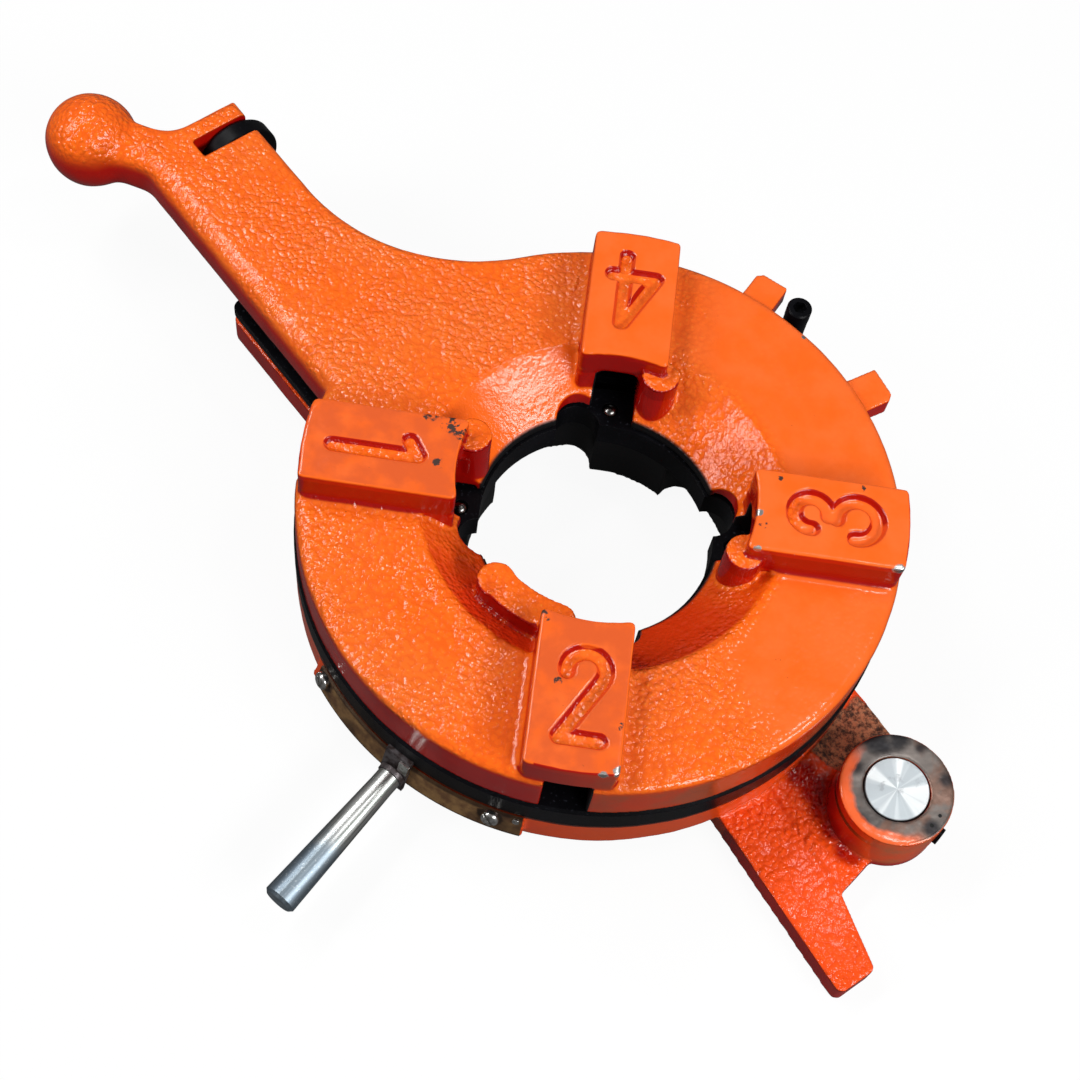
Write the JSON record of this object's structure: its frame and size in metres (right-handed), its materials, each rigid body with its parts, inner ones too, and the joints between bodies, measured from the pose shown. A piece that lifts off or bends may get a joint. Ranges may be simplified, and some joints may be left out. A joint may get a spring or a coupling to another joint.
{
  "type": "pipe threading die head",
  "caption": "Quick-opening die head for pipe threads: stacked rings with numbered chaser slots, a ball-ended arm with roller, a pivot boss with leg, and a size clamp on a scale strip",
  "frame": {"origin": "on the pipe's axis, at the plane that the rear face rests on", "axes": "+Z along the pipe axis towards the front, +X outwards through block 3, +Y outwards through block 4"},
  "size_m": [0.3123, 0.2583, 0.0629],
  "materials": {
    "orange_casting": "glossy orange paint over a rough casting, worn at corners",
    "black_oxide": "black oxide",
    "bright_steel": "turned and polished",
    "brass_strip": "dull, dirty",
    "saddle_steel": "dull, oily",
    "spring_steel": "plain wire"
  },
  "bodies": {
    "rear": {"rear_body": "orange_casting", "pivot_pin": "bright_steel", "pivot_set_screw": "black_oxide", "scale_strip": "brass_strip", "strip_screws": "bright_steel", "strip_rivet": "bright_steel", "stop_screw": "black_oxide", "stop_sleeve": "black_oxide"},
    "cam": {"cam_disc": "black_oxide", "clamp_saddle": "saddle_steel", "saddle_screws": "black_oxide", "index_tab": "bright_steel", "detent_spring_1": "spring_steel", "detent_spring_2": "spring_steel", "detent_spring_3": "spring_steel", "detent_spring_4": "spring_steel"},
    "front": {"front_body": "orange_casting", "guide_screws": "black_oxide", "guide_washers": "black_oxide", "roller_pin": "black_oxide"},
    "rod": {"size_rod": "bright_steel"},
    "roller": {"arm_roller": "black_oxide"},
    "ball_1": {"detent_ball_1": "bright_steel"},
    "ball_2": {"detent_ball_2": "bright_steel"},
    "ball_3": {"detent_ball_3": "bright_steel"},
    "ball_4": {"detent_ball_4": "bright_steel"}
  },
  "joints": [
    {"name": "front_turn", "type": "hinge", "parent": "rear", "child": "front", "pos_m": [0, 0, 0.042], "axis": [0, 0, 1], "range_deg": [-1.4, 15]},
    {"name": "cam_turn", "type": "hinge", "parent": "rear", "child": "cam", "pos_m": [0, 0, 0.028], "axis": [0, 0, 1], "range_deg": [-15, 13]},
    {"name": "rod_turn", "type": "hinge", "parent": "cam", "child": "rod", "pos_m": [-0.0627, -0.10232, 0.016], "axis": [-0.5225, -0.8526, 0], "range_deg": [0, 180]},
    {"name": "roller_spin", "type": "hinge", "parent": "front", "child": "roller", "pos_m": [-0.13441, 0.11777, 0.0362], "axis": [-0.7034, 0.7108, 0], "continuous": true},
    {"name": "ball_press_1", "type": "slide", "parent": "cam", "child": "ball_1", "axis": [0, 0, 1], "range_m": [-0.001, 0], "stiffness_N_per_m": 500, "springref_m": 0.002, "deforming": ["detent_spring_1"]},
    {"name": "ball_press_2", "type": "slide", "parent": "cam", "child": "ball_2", "axis": [0, 0, 1], "range_m": [-0.001, 0], "stiffness_N_per_m": 500, "springref_m": 0.002, "deforming": ["detent_spring_2"]},
    {"name": "ball_press_3", "type": "slide", "parent": "cam", "child": "ball_3", "axis": [0, 0, 1], "range_m": [-0.001, 0], "stiffness_N_per_m": 500, "springref_m": 0.002, "deforming": ["detent_spring_3"]},
    {"name": "ball_press_4", "type": "slide", "parent": "cam", "child": "ball_4", "axis": [0, 0, 1], "range_m": [-0.001, 0], "stiffness_N_per_m": 500, "springref_m": 0.002, "deforming": ["detent_spring_4"]}
  ]
}
